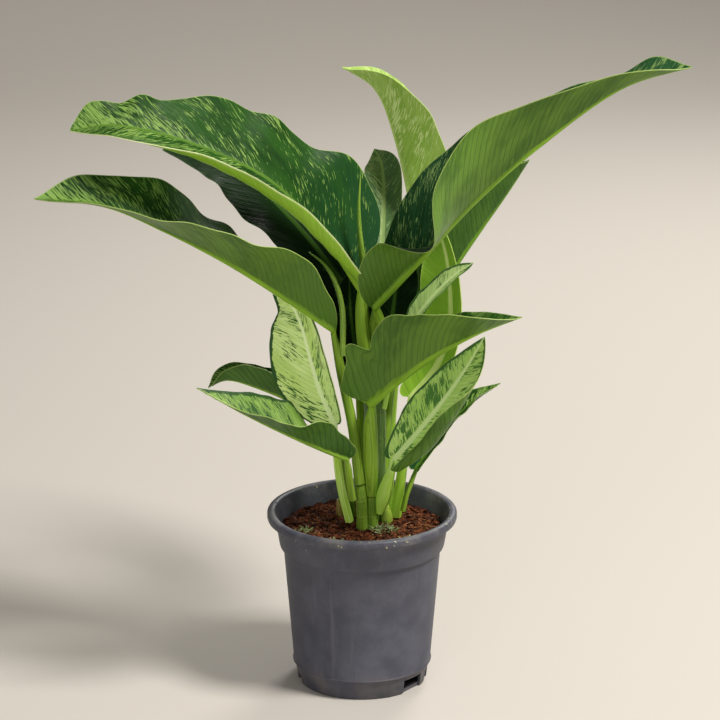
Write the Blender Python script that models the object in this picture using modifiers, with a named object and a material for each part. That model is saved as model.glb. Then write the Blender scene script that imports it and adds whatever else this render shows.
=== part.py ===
"""A dieffenbachia in a 12 cm nursery pot: pot, soil, three stems, folded leaves and rolled new leaves.

Metres, +Z up, with the origin under the middle of the pot's flat base. The front of the plant faces -Y.
Lengths below are written in millimetres and turned into metres where a mesh is made.
"""

import math

import bmesh
import bpy
import numpy as np
from mathutils import Matrix, Vector

MM = 0.001
GAP = 0.3  # clearance between neighbouring pieces

# Pot: a thin-walled nursery pot with a rolled rim, a collar and a recessed foot
RIM_RADIUS = 60.0
POT_HEIGHT = 113.2
LIP_HEIGHT = 5.4
WALL = 1.5
COLLAR_BOTTOM = 90.0
BODY_TOP_RADIUS = 49.7
LEDGE_HEIGHT = 13.0
LEDGE_RADIUS = 43.6
FOOT_RADIUS = 41.0
FLOOR = 2.0
NOTCH_HEIGHT = 5.5
NOTCH_WIDTH = 10.0
NOTCH_ANGLES = (50, 75, 158, 183, 260, 285)  # degrees from the front, towards +X
DRAIN_RADIUS = 3.5
DRAIN_CIRCLE = 26.0
DRAIN_COUNT = 6

SOIL_TOP = 101.0

# Leaf blades and the stalks they stand on
BLADE_HALF_THICKNESS = 0.45
ACROSS = (-1, -0.55, -0.13, 0, 0.13, 0.55, 1)  # stations from one margin to the other
VEIN_ROWS = (0, 0.08, 0.18, 0.29, 0.4, 0.51, 0.62, 0.73, 0.83, 0.92, 0.985)
STALK_ROWS = (0, 0.2, 0.4, 0.6, 0.8, 0.94)
VEIN_SWEEP = 0.07  # how far the vein ends reach ahead of their roots, as a share of the length


def spline(points, share):
    """Catmull-Rom curve through evenly spaced points, straight on beyond its first one."""
    knots = np.asarray(points, float)
    if knots.ndim == 1:
        knots = knots[:, None]
    share = np.atleast_1d(np.asarray(share, float))
    spans = len(knots) - 1
    reach = np.clip(share, 0, 1) * spans
    i = np.minimum(reach.astype(int), spans - 1)
    f = (reach - i)[:, None]
    ends = np.vstack([2 * knots[0] - knots[1], knots, 2 * knots[-1] - knots[-2]])
    a, b, c, d = ends[i], ends[i + 1], ends[i + 2], ends[i + 3]
    curve = 2 * b + (c - a) * f
    curve = curve + (2 * a - 5 * b + 4 * c - d) * f**2 + (3 * b - a - 3 * c + d) * f**3
    start_slope = 0.5 * (ends[2] - ends[0]) * spans
    return 0.5 * curve + np.minimum(share, 0)[:, None] * start_slope


def unit(vectors):
    return vectors / np.linalg.norm(vectors, axis=-1, keepdims=True)


def blade_frame(leaf, along):
    """Midrib point, side vector and upper-face vector at each share of the blade's length."""
    middle = spline(leaf["rib"], along)
    ahead = unit(spline(leaf["rib"], along + 0.01) - spline(leaf["rib"], along - 0.01))
    base_face, tip_face = (np.asarray(face, float) for face in leaf["face"])
    face = base_face + (tip_face - base_face) * np.clip(along, 0, 1)[:, None]
    side = unit(np.cross(face, ahead))
    return middle, side, np.cross(ahead, side)


def blade_points(leaf, row, across, lift):
    """Points on one vein row of a blade: each half rises from the midrib at its own fold angle."""
    half_width = np.maximum(spline(leaf["width"], row)[0, 0], 0)
    margin = row - leaf.get("lobe", 0.05) * (1 - row) ** 3 + VEIN_SWEEP * math.sin(math.pi * row) * row
    across = np.asarray(across, float)
    along = row + (margin - row) * np.abs(across) ** 1.5
    out = half_width * np.abs(across)
    middle, side, face = blade_frame(leaf, along)
    inside = np.clip(along, 0, 1)
    towards = np.where(across >= 0, 1.0, -1.0)
    first_fold, second_fold = (spline(angles, inside)[:, 0] for angles in leaf["fold"])
    fold = np.radians(np.where(across > 0, first_fold, second_fold))
    curl = np.radians(spline(leaf.get("curl", (0, 0)), inside)[:, 0]) * (across > 0) + 1e-4
    bend = curl / max(leaf["width"])
    angle = fold + bend * out
    level = (np.sin(angle) - np.sin(fold)) / bend
    rise = (np.cos(fold) - np.cos(angle)) / bend
    waves, swing, phase = leaf.get("wave", (3, 2, 0))
    turn = waves * along + phase + 0.25 * (across > 0)
    rise = rise + swing * np.sin(2 * math.pi * turn) * (out / max(leaf["width"])) ** 2
    slope = np.where(across == 0, 0, angle)
    level = level - lift * np.sin(slope)
    rise = rise + lift * np.cos(slope)
    return middle + (towards * level)[:, None] * side + rise[:, None] * face


def stalk_points(leaf, share, radius, across, side_sign):
    """Half of a round stalk section, upper (+1) or lower (-1), turned like the blade's base."""
    centre = spline(leaf["stalk"], share)[0]
    ahead = unit(spline(leaf["stalk"], share + 0.02)[0] - spline(leaf["stalk"], share - 0.02)[0])
    side = blade_frame(leaf, np.array([0.0]))[1][0]
    side = unit(side - ahead * (side @ ahead))
    face = np.cross(ahead, side)
    turn = np.radians(80) * np.asarray(across, float)
    return centre + radius * (np.sin(turn)[:, None] * side + side_sign * np.cos(turn)[:, None] * face)


def loft(name, rings):
    """One closed solid through rings of equal point count, capped at both ends."""
    form = bmesh.new()
    loops = [[form.verts.new(Vector(point) * MM) for point in ring] for ring in rings]
    count = len(rings[0])
    for lower, upper in zip(loops, loops[1:]):
        for i in range(count):
            j = (i + 1) % count
            form.faces.new((lower[i], lower[j], upper[j], upper[i]))
    form.faces.new(loops[0][::-1])
    form.faces.new(loops[-1])
    bmesh.ops.triangulate(form, faces=[face for face in form.faces if len(face.verts) > 3])
    bmesh.ops.recalc_face_normals(form, faces=form.faces)
    return finish(name, form)


def finish(name, form):
    mesh = bpy.data.meshes.new(name)
    form.to_mesh(mesh)
    form.free()
    mesh.shade_smooth()
    piece = bpy.data.objects.new(name, mesh)
    PLANT.objects.link(piece)
    return piece


def leaf_piece(name, leaf, material):
    """Stalk and blade lofted as one solid, with the midrib standing proud under the blade."""
    across = np.array(ACROSS, float)
    top_radius = leaf["stalk_radius"][-1]
    rings = []
    for share in STALK_ROWS:
        radius = spline(leaf["stalk_radius"], share)[0, 0]
        upper = stalk_points(leaf, share, radius, across, 1)
        lower = stalk_points(leaf, share, radius, across, -1)
        rings.append(np.vstack([upper, lower[::-1]]))
    for row in VEIN_ROWS:
        keel = top_radius * 1.6 * (1 - row) ** 0.8
        under = np.where(across == 0, BLADE_HALF_THICKNESS + keel, BLADE_HALF_THICKNESS)
        upper = blade_points(leaf, row, across, np.full(len(across), BLADE_HALF_THICKNESS))
        lower = blade_points(leaf, row, across, -under)
        rings.append(np.vstack([upper, lower[::-1]]))
    piece = loft(name, rings)
    piece.data.materials.append(material)
    return piece


def tube(name, route, radii, material):
    """A stem or a rolled leaf: a curve with a round bevel whose radius follows the route."""
    curve = bpy.data.curves.new(name, "CURVE")
    curve.dimensions = "3D"
    curve.bevel_depth = MM
    curve.bevel_resolution = 2
    curve.use_fill_caps = True
    rows = np.linspace(0, 1, 3 * len(route))
    path = curve.splines.new("POLY")
    path.points.add(len(rows) - 1)
    for point, place, radius in zip(path.points, spline(route, rows), spline(radii, rows)):
        point.co = (*(place * MM), 1)
        point.radius = radius[0]
    piece = bpy.data.objects.new(name, curve)
    piece.data.materials.append(material)
    PLANT.objects.link(piece)
    return piece


def turned(name, profile, material, steps=48):
    """A body turned about +Z from (radius, height) points, inner side first, then down the outer side."""
    form = bmesh.new()
    corners = [form.verts.new((radius * MM, 0, height * MM)) for radius, height in profile]
    for first, second in zip(corners, corners[1:]):
        form.edges.new((first, second))
    piece = finish(name, form)
    screw = piece.modifiers.new("Turn", "SCREW")
    screw.steps = screw.render_steps = steps
    screw.use_merge_vertices = True
    screw.merge_threshold = 0.00005
    piece.data.materials.append(material)
    return piece


def cutter(name, form):
    piece = finish(name, form)
    PLANT.objects.unlink(piece)
    CUTTERS.objects.link(piece)
    piece.hide_render = True
    piece.display_type = "WIRE"
    return piece


def cut(piece, tool):
    boolean = piece.modifiers.new("Cut " + tool.name, "BOOLEAN")
    boolean.operation = "DIFFERENCE"
    boolean.object = tool


def principled(name, colour, roughness):
    material = bpy.data.materials.new(name)
    material.use_nodes = True
    shader = material.node_tree.nodes["Principled BSDF"]
    shader.inputs["Base Color"].default_value = (*colour, 1)
    shader.inputs["Roughness"].default_value = roughness
    shader.inputs["Metallic"].default_value = 0
    return material


def inner_radius(height):
    """Inside of the pot's wall between the floor and the collar."""
    slope = (BODY_TOP_RADIUS - FOOT_RADIUS) / COLLAR_BOTTOM
    return FOOT_RADIUS - WALL + slope * height


def make_pot():
    lip_bottom = POT_HEIGHT - LIP_HEIGHT
    profile = [
        (0, FLOOR),
        (inner_radius(FLOOR), FLOOR),
        (inner_radius(COLLAR_BOTTOM), COLLAR_BOTTOM),
        (50.4, COLLAR_BOTTOM + 2.5),
        (53.0, lip_bottom),
        (55.0, POT_HEIGHT - 2),
        (55.6, POT_HEIGHT - 0.5),
        (56.8, POT_HEIGHT),
        (58.8, POT_HEIGHT - 0.4),
        (RIM_RADIUS, POT_HEIGHT - 1.8),
        (RIM_RADIUS, lip_bottom + 0.8),
        (RIM_RADIUS - 0.8, lip_bottom),
        (55.2, lip_bottom - 0.4),
        (54.4, lip_bottom - 2),
        (52.0, COLLAR_BOTTOM + 0.8),
        (BODY_TOP_RADIUS, COLLAR_BOTTOM - 0.6),
        (LEDGE_RADIUS, LEDGE_HEIGHT + 0.8),
        (LEDGE_RADIUS + 0.5, LEDGE_HEIGHT),
        (LEDGE_RADIUS - 1.0, LEDGE_HEIGHT - 1.2),
        (FOOT_RADIUS, 0.6),
        (FOOT_RADIUS - 0.6, 0),
        (0, 0),
    ]
    pot = turned("pot", profile, principled("pot_plastic", (0.085, 0.085, 0.1), 0.5), 64)
    form = bmesh.new()
    for angle in NOTCH_ANGLES:
        turn = math.radians(angle)
        outward = Vector((math.sin(turn), -math.cos(turn), 0))
        made = bmesh.ops.create_cube(form, size=MM)
        bmesh.ops.scale(form, vec=(NOTCH_WIDTH, 12, 2 * NOTCH_HEIGHT), verts=made["verts"])
        bmesh.ops.rotate(form, matrix=Matrix.Rotation(turn, 3, "Z"), verts=made["verts"])
        bmesh.ops.translate(form, vec=outward * (FOOT_RADIUS + 3.5) * MM, verts=made["verts"])
    for i in range(DRAIN_COUNT):
        turn = 2 * math.pi * i / DRAIN_COUNT
        radius = DRAIN_RADIUS * MM
        made = bmesh.ops.create_cone(
            form, cap_ends=True, segments=16, radius1=radius, radius2=radius, depth=4 * FLOOR * MM
        )
        place = Vector((math.cos(turn), math.sin(turn), 0)) * DRAIN_CIRCLE * MM
        bmesh.ops.translate(form, vec=place, verts=made["verts"])
    cut(pot, cutter("pot_cuts", form))


def make_soil():
    """Peat and coir fill, flat on top, a little clear of the wall and the floor."""
    bottom = FLOOR + GAP
    profile = [
        (0, SOIL_TOP),
        (50.4, SOIL_TOP),
        (49.9, COLLAR_BOTTOM + 3.2),
        (inner_radius(COLLAR_BOTTOM) - GAP - 0.1, COLLAR_BOTTOM),
        (inner_radius(bottom) - GAP, bottom),
        (0, bottom),
    ]
    turned("soil", profile, principled("potting_soil", (0.1, 0.035, 0.015), 0.95), 64)


# Blades: midrib, the way the upper side faces at base and tip, half-widths from base to tip,
# and how far each half folds up (first the half on the side face x ahead), all from base to tip.
LEAVES = {
    "leaf_upper_left": dict(
        stalk=[(3, 1.5, 214), (1, 0, 230), (0, -2, 246), (0, -4, 259)],
        stalk_radius=(2.6, 2.4),
        rib=[
            (0, -4, 259), (-21, -12, 293), (-55, -24, 332),
            (-100, -36, 358), (-144, -46, 376), (-174, -50, 371)],
        face=((0.6, 0.1, 0.8), (0.1, -0.25, 0.9)), width=(18, 42, 43, 29, 15, 0), lobe=-0.05,
        fold=((40, 40, 32, 10, -5, 0), (64, 62, 57, 52, 48, 40)), curl=(0, 10, 25, 25, 10, 0),
        wave=(3.2, 3, 0.1), tone="dark"),
    "leaf_mid_left": dict(
        stalk=[(-1.5, -8, 133.4), (-6, -9.5, 172), (-13, -11, 208), (-17, -18, 238)],
        stalk_radius=(3.0, 2.4),
        rib=[
            (-17, -18, 238), (-50, -26, 263), (-83, -36, 287),
            (-119, -46, 309), (-154, -54, 326), (-196, -60, 332)],
        face=((0.5, 0, 0.85), (0.2, 0, 1)), width=(14, 38, 40, 31, 19, 0), lobe=-0.06,
        fold=((50, 75, 45, 26, 18, 8), (0, 0, 10, 42, 48, 30)), wave=(3, 3, 0.3), tone="dark"),
    "leaf_shaded_left": dict(
        stalk=[(1, 15, 101.4), (0, 15, 150), (-3, 17, 205), (-8, 18, 250)],
        stalk_radius=(3.0, 2.2),
        rib=[(-8, 18, 250), (-33, 28, 282), (-63, 36, 312), (-92, 42, 330), (-125, 44, 336)],
        face=((0.4, -0.3, 0.8), (0.1, -0.3, 1)), width=(16, 30, 31, 22, 0),
        fold=((0, 0, 0, 5, 10), (40, 35, 30, 25, 20)), tone="dark"),
    "leaf_tall_back": dict(
        stalk=[(17, 25, 101.6), (18, 33, 145), (21, 43, 185), (27, 54, 215)],
        stalk_radius=(3.4, 2.4),
        rib=[(27, 54, 215), (33, 76, 248), (32, 88, 285), (22, 94, 330), (9, 96, 362), (-13, 96, 377)],
        face=((1, 0.1, 0), (0.5, -0.1, 0.9)), width=(16, 34, 38, 34, 20, 0),
        fold=((78, 78, 76, 70, 60, 50), (35, 35, 35, 35, 35, 35)), tone="bright"),
    "leaf_right_upright": dict(
        stalk=[(21.5, 17, 102.2), (25, 16, 130), (28, 15, 155), (31, 14, 182)],
        stalk_radius=(3.6, 2.4),
        rib=[(31, 14, 182), (47, 18, 202), (55, 21, 226), (55, 24, 254), (51, 27, 279), (41, 29, 304)],
        face=((-0.2, -1, 0.1), (-0.2, -1, 0.1)), width=(8, 16, 19, 18, 11, 0),
        fold=((12, 12), (65, 65)), wave=(3, 1, 0), tone="bright"),
    "leaf_back_crown": dict(
        stalk=[(8, 24, 102), (8, 34, 150), (11, 46, 195), (15, 62, 232)],
        stalk_radius=(3.0, 2.0),
        rib=[(15, 62, 232), (13, 84, 259), (14, 100, 285), (13, 112, 307), (8, 118, 320)],
        face=((0, -1, 0.35), (0, -1, 0.35)), width=(6, 11, 13, 11, 0),
        fold=((15, 15), (15, 15)), wave=(3, 1, 0), tone="pale"),
    "leaf_upper_right": dict(
        stalk=[(10.2, 3, 214), (10.4, 1.5, 226), (9.4, -3.5, 238), (7, -10, 250)],
        stalk_radius=(2.6, 2.6),
        rib=[
            (7, -10, 250), (34, -19, 282), (66, -30, 321),
            (106, -40, 360), (153, -50, 397), (195, -58, 412)],
        face=((-0.7, 0, 0.7), (-0.45, 0, 0.9)), width=(16, 38, 45, 31, 15, 0), lobe=0,
        fold=((30, 42, 45, 55, 45, 30), (55, 45, 42, 78, 50, 30)), wave=(3, 3, 0.2), tone="dark"),
    "leaf_right_behind": dict(
        stalk=[(14, 15, 101.6), (15, 19, 145), (19, 27, 188), (32, 34, 221)],
        stalk_radius=(3.2, 2.2),
        rib=[(32, 34, 221), (56, 42, 257), (76, 46, 286), (91, 48, 307), (105, 50, 328)],
        face=((-0.8, 0, 0.6), (-0.8, 0, 0.6)), width=(12, 25, 27, 20, 0),
        fold=((60, 60), (80, 80)), tone="dark"),
    "leaf_front_right": dict(
        stalk=[(6, -4, 124.5), (5.5, -8, 148), (5, -13, 171), (5, -18, 190)],
        stalk_radius=(3.4, 4.2, 4, 2.4),
        rib=[(5, -18, 190), (23, -26, 208), (45, -36, 227), (70, -46, 244), (97, -52, 256)],
        face=((-0.4, 0, 0.9), (-0.2, 0, 1)), width=(19, 33, 34, 20, 0), lobe=0.12,
        fold=((58, 55, 40, 15, 10), (85, 85, 80, 52, 30)), tone="dark"),
    "leaf_small_right": dict(
        stalk=[(13.8, 1, 180), (17, 0, 195), (22, 1, 210), (26, 2, 224)],
        stalk_radius=(1.6, 1.2),
        rib=[(26, 2, 224), (36, 0, 243), (48, 0, 258), (59, 2, 268), (69, 4, 274)],
        face=((-0.5, -0.8, 0.3), (-0.5, -0.8, 0.3)), width=(4, 8, 8, 5, 0),
        fold=((50, 50), (60, 60)), wave=(3, 1, 0), tone="pale"),
    "leaf_variegated_left": dict(
        stalk=[(-8, 8, 102.3), (-13, 3, 126), (-16, -2, 150), (-17, -7, 172)],
        stalk_radius=(2.6, 2.4),
        rib=[(-17, -7, 172), (-26, -6, 193), (-32, -3, 213), (-38, 3, 234), (-45, 9, 246), (-56, 15, 251)],
        face=((-0.2, -1, 0.3), (-0.2, -1, 0.3)), width=(7, 22, 25, 19, 10, 0), lobe=0.02,
        fold=((10, 10), (60, 60)), wave=(3, 1, 0), tone="pale"),
    "leaf_lower_left": dict(
        stalk=[(-6, -12, 124), (-7.5, -15, 135), (-8.5, -19, 146), (-9, -22, 155)],
        stalk_radius=(2.4, 2.0),
        rib=[(-9, -22, 155), (-29, -30, 166), (-51, -38, 179), (-75, -46, 194), (-101, -52, 211)],
        face=((0.4, 0, 0.9), (0.2, 0, 1)), width=(8, 21, 23, 12, 0),
        fold=((75, 70, 35, 20, 10), (10, 15, 40, 45, 40)), tone="pale"),
    "leaf_lower_left_back": dict(
        stalk=[(-6, 16, 101.4), (-9, 14, 126), (-14, 12, 150), (-19, 10, 168)],
        stalk_radius=(2.4, 1.8),
        rib=[(-19, 10, 168), (-39, 14, 178), (-63, 16, 188), (-84, 16, 194), (-97, 12, 190)],
        face=((0.4, 0, 0.9), (0, 0, 1)), width=(5, 12, 16, 10, 0),
        fold=((80, 80, 80, 70, 60), (50, 50, 50, 50, 50)), wave=(3, 1, 0), tone="dark"),
    "leaf_lower_right": dict(
        stalk=[(13.6, -5, 121), (15.5, -8, 131), (18, -11, 141), (20, -14, 151)],
        stalk_radius=(3.0, 2.4),
        rib=[(20, -14, 151), (38, -24, 177), (54, -30, 201), (66, -33, 221), (75, -34, 238)],
        face=((-0.35, -0.85, 0.4), (-0.35, -0.85, 0.4)), width=(6, 18, 20, 11, 0),
        fold=((30, 30, 30, 30, 25), (30, 30, 30, 30, 25)), wave=(3, 1, 0), tone="pale"),
    "leaf_lower_right_back": dict(
        stalk=[(26, 11, 108), (28, 10, 118), (31, 10, 127), (34, 10, 136)],
        stalk_radius=(1.8, 1.5),
        rib=[(34, 10, 136), (52, 22, 158), (70, 31, 174), (88, 34, 186)],
        face=((-0.4, -0.3, 0.9), (-0.2, 0, 1)), width=(5, 11, 9, 0),
        fold=((30, 30), (30, 30)), wave=(3, 1, 0), tone="dark"),
    "leaf_inner_right": dict(
        stalk=[(11.8, 10.6, 190), (13.5, 12, 202), (15.5, 14, 213), (17, 15, 223)],
        stalk_radius=(1.7, 1.4),
        rib=[(17, 15, 223), (19, 18, 241), (20, 20, 258), (20.5, 22, 272)],
        face=((0, -1, 0.2), (0, -1, 0.2)), width=(5, 10, 9, 0),
        fold=((15, 15), (15, 15)), wave=(3, 1, 0), tone="dark"),
    "leaf_inner_left": dict(
        stalk=[(0.2, 7.8, 186), (-1.2, 7.2, 195), (-2.4, 6.7, 203), (-3, 6.5, 211)],
        stalk_radius=(1.4, 1.2),
        rib=[(-3, 6.5, 211), (-7, 7.5, 224), (-9.5, 8, 234), (-11, 8, 242)],
        face=((0, -1, 0.2), (0, -1, 0.2)), width=(4, 10, 9, 0),
        fold=((15, 15), (15, 15)), wave=(3, 1, 0), tone="dark"),
}

TONES = {
    "dark": (0.03, 0.11, 0.02),
    "bright": (0.25, 0.42, 0.06),
    "pale": (0.22, 0.36, 0.12),
    "stem": (0.2, 0.4, 0.04),
}

# Stems and rolled parts: route and radius from bottom to top
STEMS = {
    "stem_front": (
        [(0, -5, 101.4), (0, -6, 112), (-0.5, -6.5, 122), (-1.5, -7.5, 132.5)],
        (3.1, 3.1, 3.4, 3.2)),
    "stem_centre": ([(6.6, -3, 101.4), (6.4, -3.2, 112), (6, -3.6, 123.8)], (3.1, 3.3, 3.6)),
    "stem_back": ([(7, 8, 101.4), (8, 7, 140), (8, 6, 175), (7, 3, 212)], (5.0, 5.2, 5.0, 4.6)),
    "rolled_leaf_centre": (
        [(1.2, -5.4, 265), (0.6, -6.2, 276), (-1, -7.5, 292), (-2, -8, 312), (-1, -8, 333)],
        (1.2, 2.1, 1.6, 1, 0.4)),
    "rolled_leaf_left": (
        [(-12, -21.5, 222), (-12, -24, 250), (-16, -23, 268), (-23, -22, 280), (-33, -20, 288)],
        (1.8, 1.8, 1.6, 1, 0.4)),
    "side_shoot": ([(15.5, 4, 101.4), (15.6, 4, 106), (15, 3.6, 112), (14, 3, 116.5)], (3.4, 3.8, 2.8, 0.8)),
    "old_sheath": ([(-14, 19, 101.4), (-14.4, 19, 107), (-15.4, 19, 113)], (2.6, 2.2, 0.8)),
}

for old in list(bpy.data.objects):
    bpy.data.objects.remove(old, do_unlink=True)
PLANT = bpy.data.collections.new("potted_dieffenbachia")
CUTTERS = bpy.data.collections.new("cutters")
for collection in (PLANT, CUTTERS):
    bpy.context.scene.collection.children.link(collection)

make_pot()
make_soil()
greens = {tone: principled("leaf_" + tone, colour, 0.4) for tone, colour in TONES.items()}
for name, leaf in LEAVES.items():
    leaf_piece(name, leaf, greens[leaf["tone"]])
for name, (route, radii) in STEMS.items():
    tube(name, route, radii, greens["stem"])
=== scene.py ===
"""Looks of the potted dieffenbachia: its nursery pot, soil, stems and folded, speckled leaves."""

import math
import random

import bmesh
import bpy
import numpy as np
from mathutils import Euler, Matrix, Vector, noise


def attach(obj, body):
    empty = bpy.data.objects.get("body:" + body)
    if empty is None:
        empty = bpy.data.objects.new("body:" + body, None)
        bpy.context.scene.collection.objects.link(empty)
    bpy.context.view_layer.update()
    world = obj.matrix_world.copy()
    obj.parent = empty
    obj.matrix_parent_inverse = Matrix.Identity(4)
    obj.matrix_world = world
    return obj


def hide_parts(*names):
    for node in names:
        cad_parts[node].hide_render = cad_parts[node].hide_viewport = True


# ---------------------------------------------------------------- frame
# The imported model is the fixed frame: everything stands on its one body, in metres, +Z up,
# with the origin under the middle of the pot. Lengths below are in millimetres.
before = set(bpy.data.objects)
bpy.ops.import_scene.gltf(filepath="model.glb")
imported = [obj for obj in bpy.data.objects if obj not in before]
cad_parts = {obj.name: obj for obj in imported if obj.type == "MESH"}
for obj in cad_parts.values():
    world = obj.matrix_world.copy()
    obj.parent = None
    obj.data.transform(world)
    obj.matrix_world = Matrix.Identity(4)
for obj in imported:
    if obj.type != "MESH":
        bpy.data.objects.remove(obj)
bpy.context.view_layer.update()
MM = 0.001


# ---------------------------------------------------------------- pot
# A thin-walled grey nursery pot, moulded in one piece: rolled rim, stepped collar, tapered body and a
# recessed foot. Spun from its profile, then notched and drilled. It stands flat and carries the rest.
RIM_RADIUS = 60.0
POT_HEIGHT = 113.2
COLLAR_BOTTOM = 90.0
LEDGE_HEIGHT = 13.0
FOOT_RADIUS = 41.0
DRAINAGE_NOTCHES = (  # each one's turn round the foot in degrees from the front, its width and its height
    (51, 17, 9.5), (79, 9, 8), (158, 10, 6), (183, 10, 6), (260, 10, 6), (285, 10, 6))
DRAIN_HOLES = 6
DRAIN_HOLE_RADIUS = 3.5
DRAIN_CIRCLE = 26.0  # from the pot's middle to the middle of each hole
SHARP_EDGE = math.radians(50)  # faces that meet at more than this show a crisp edge


def feed(tree, socket, value):
    """Joins a socket to another node's output, or sets it to a plain value."""
    if isinstance(value, bpy.types.NodeSocket):
        tree.links.new(value, socket)
    else:
        socket.default_value = value


def maths(tree, way, *values):
    """One sum of a shader: way is its operation, and values are numbers or other nodes' outputs."""
    node = tree.nodes.new("ShaderNodeMath")
    node.operation = way
    for socket, value in zip(node.inputs, values):
        feed(tree, socket, value)
    return node.outputs[0]


def product(tree, first, *others):
    """All the masks given, multiplied together."""
    for other in others:
        first = maths(tree, "MULTIPLY", first, other)
    return first


def stretched(tree, place, scale):
    """The place vector with each axis scaled, for patterns longer one way than the other."""
    node = tree.nodes.new("ShaderNodeVectorMath")
    node.operation = "MULTIPLY"
    feed(tree, node.inputs[0], place)
    node.inputs[1].default_value = scale
    return node.outputs[0]


def cloud(tree, place, scale, detail=2.0, roughness=0.5):
    """Smooth noise from 0 to 1 over a place vector."""
    node = tree.nodes.new("ShaderNodeTexNoise")
    feed(tree, node.inputs["Vector"], place)
    node.inputs["Scale"].default_value = scale
    node.inputs["Detail"].default_value = detail
    node.inputs["Roughness"].default_value = roughness
    return node.outputs["Fac"]


def step(tree, value, low, high):
    """0 below low, 1 above high, smooth between; low may be above high."""
    node = tree.nodes.new("ShaderNodeMapRange")
    node.interpolation_type = "SMOOTHSTEP"
    for socket, setting in zip(node.inputs, (value, low, high)):
        feed(tree, socket, setting)
    return node.outputs[0]


def mixed(tree, share, first, second):
    """The first colour where share is 0, the second where it is 1."""
    node = tree.nodes.new("ShaderNodeMix")
    node.data_type = "RGBA"
    feed(tree, node.inputs[0], share)
    feed(tree, node.inputs[6], first)
    feed(tree, node.inputs[7], second)
    return node.outputs[2]


def parts_of(tree, vector):
    """The X, Y and Z of a vector."""
    split = tree.nodes.new("ShaderNodeSeparateXYZ")
    feed(tree, split.inputs[0], vector)
    return split.outputs


def rgb(red, green, blue):
    """A colour given as 0-255 sRGB, in the linear values that a shader takes."""
    return tuple(((c / 255 + 0.055) / 1.055) ** 2.4 for c in (red, green, blue)) + (1,)


def new_material(name, roughness, specular):
    """A plain material, with its node tree and its shader."""
    material = bpy.data.materials.new(name)
    material.use_nodes = True
    shader = material.node_tree.nodes["Principled BSDF"]
    shader.inputs["Roughness"].default_value = roughness
    shader.inputs["Specular IOR Level"].default_value = specular
    return material, material.node_tree, shader


def bumped(tree, shader, height, strength, distance):
    """Gives a shader a fine relief from a height mask; distance is its depth in metres."""
    bump = tree.nodes.new("ShaderNodeBump")
    bump.inputs["Strength"].default_value = strength
    bump.inputs["Distance"].default_value = distance
    feed(tree, bump.inputs["Height"], height)
    feed(tree, shader.inputs["Normal"], bump.outputs["Normal"])


def piece_of(name, form, materials, node, smooth=True):
    """Turns a finished form into a piece of the object, in the place of one CAD node."""
    mesh = bpy.data.meshes.new(name)
    form.to_mesh(mesh)
    form.free()
    for material in materials:
        mesh.materials.append(material)
    if smooth:
        mesh.shade_smooth()
        mesh.set_sharp_from_angle(angle=SHARP_EDGE)
    piece = bpy.data.objects.new(name, mesh)
    bpy.context.scene.collection.objects.link(piece)
    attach(piece, "root")
    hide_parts(node)
    return piece


def pot_profile():
    """Inner side from the floor up, over the rolled rim, and down the outer side to the foot."""
    lip = POT_HEIGHT - 5.4
    line = [(0, 2), (38.6, 2), (39.7, 3), (48.0, COLLAR_BOTTOM), (50.3, COLLAR_BOTTOM + 2.5)]
    line += [(52.8, lip), (54.6, POT_HEIGHT - 2.2)]
    for turn in range(165, -1, -15):
        angle = math.radians(turn)
        line.append((57.4 + 2.6 * math.cos(angle), POT_HEIGHT - 1.9 + 1.9 * math.sin(angle)))
    line += [(RIM_RADIUS, lip + 1.2), (RIM_RADIUS - 0.3, lip + 0.3), (RIM_RADIUS - 1, lip)]
    line += [(55.4, lip - 0.3), (54.5, lip - 1.6), (54.1, lip - 5), (52.3, COLLAR_BOTTOM + 1.6)]
    line += [(51.9, COLLAR_BOTTOM + 0.3), (51.2, COLLAR_BOTTOM - 0.2), (49.8, COLLAR_BOTTOM - 0.7)]
    line += [(43.7, LEDGE_HEIGHT + 1.1), (44.3, LEDGE_HEIGHT + 0.4), (44.2, LEDGE_HEIGHT - 0.2)]
    line += [(42.5, LEDGE_HEIGHT - 1.3), (FOOT_RADIUS + 0.2, 0.9), (FOOT_RADIUS - 0.6, 0), (0, 0)]
    return line


def spun(profile, steps):
    """A line of radii and heights turned once about +Z into a closed body."""
    form = bmesh.new()
    corners = [form.verts.new((radius * MM, 0, height * MM)) for radius, height in profile]
    edges = [form.edges.new(pair) for pair in zip(corners, corners[1:])]
    bmesh.ops.spin(
        form, geom=corners + edges, cent=(0, 0, 0), axis=(0, 0, 1), dvec=(0, 0, 0), angle=2 * math.pi,
        steps=steps, use_merge=True, use_normal_flip=False, use_duplicate=False)
    bmesh.ops.remove_doubles(form, verts=form.verts, dist=0.00001)
    bmesh.ops.recalc_face_normals(form, faces=form.faces)
    return form


def drainage():
    """Blocks for the notches round the foot and rods for the floor's drain holes."""
    form = bmesh.new()
    for turn, width, height in DRAINAGE_NOTCHES:
        angle = math.radians(turn)
        outward = Vector((math.sin(angle), -math.cos(angle), 0))
        block = bmesh.ops.create_cube(form, size=MM)["verts"]
        bmesh.ops.scale(form, vec=(width, 12, 2 * height), verts=block)
        bmesh.ops.rotate(form, matrix=Matrix.Rotation(angle, 3, "Z"), verts=block)
        bmesh.ops.translate(form, vec=outward * 44.5 * MM, verts=block)
    for i in range(DRAIN_HOLES):
        angle = math.radians(360 / DRAIN_HOLES * i)
        rod = bmesh.ops.create_cone(
            form, cap_ends=True, segments=24, radius1=DRAIN_HOLE_RADIUS * MM, radius2=DRAIN_HOLE_RADIUS * MM,
            depth=16 * MM)
        outward = Vector((math.cos(angle), math.sin(angle), 0))
        bmesh.ops.translate(form, vec=outward * DRAIN_CIRCLE * MM, verts=rod["verts"])
    return form


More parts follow.
